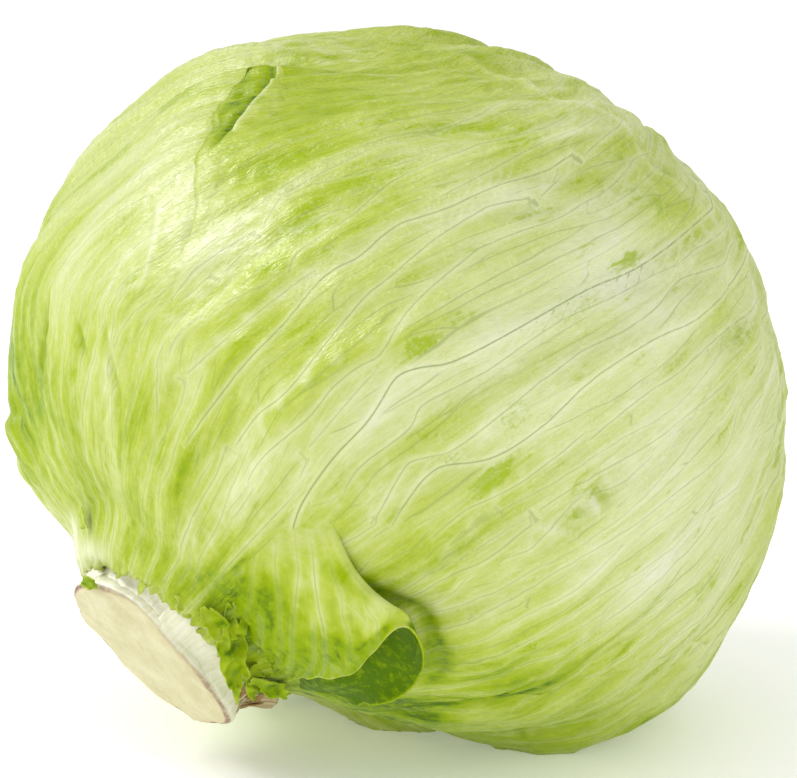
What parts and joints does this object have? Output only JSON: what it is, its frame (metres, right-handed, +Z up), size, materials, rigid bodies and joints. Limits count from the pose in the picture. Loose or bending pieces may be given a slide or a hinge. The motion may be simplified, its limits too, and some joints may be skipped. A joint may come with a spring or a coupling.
{
  "type": "iceberg lettuce",
  "caption": "Whole iceberg (crisphead) lettuce lying on its side, with overlapping wrapper leaves around a heart and a cut stem butt.",
  "frame": {"origin": "on the ground, under the middle of the head's bounding box", "axes": "+Z up; +X to the right and +Y away from someone who sees the cut stem at the lower left of the near side"},
  "size_m": [0.1596, 0.1634, 0.1454],
  "materials": {
    "pale_leaf": "satin, waxy pale yellow-green leaf",
    "green_leaf": "satin, waxy mid green leaf",
    "heart_leaf": "satin, crisp cream-yellow inner leaf",
    "stem_flesh": "matte, dry cream cut stem with a brown rim",
    "leaf_base": "satin, thick white torn leaf base"
  },
  "bodies": {
    "root": {"front_leaf": "pale_leaf", "under_leaf": "pale_leaf", "left_leaf": "pale_leaf", "back_leaf": "green_leaf", "upper_leaf": "green_leaf", "lower_leaf": "green_leaf", "heart_leaf_1": "heart_leaf", "heart_leaf_2": "heart_leaf", "heart_leaf_3": "heart_leaf", "heart_leaf_4": "heart_leaf", "heart_leaf_5": "heart_leaf", "heart_leaf_6": "heart_leaf", "heart_leaf_7": "heart_leaf", "heart_leaf_8": "heart_leaf", "heart": "heart_leaf", "core_stem": "stem_flesh", "leaf_base_1": "leaf_base", "leaf_base_2": "leaf_base", "leaf_base_3": "leaf_base", "leaf_base_4": "leaf_base"}
  },
  "joints": []
}
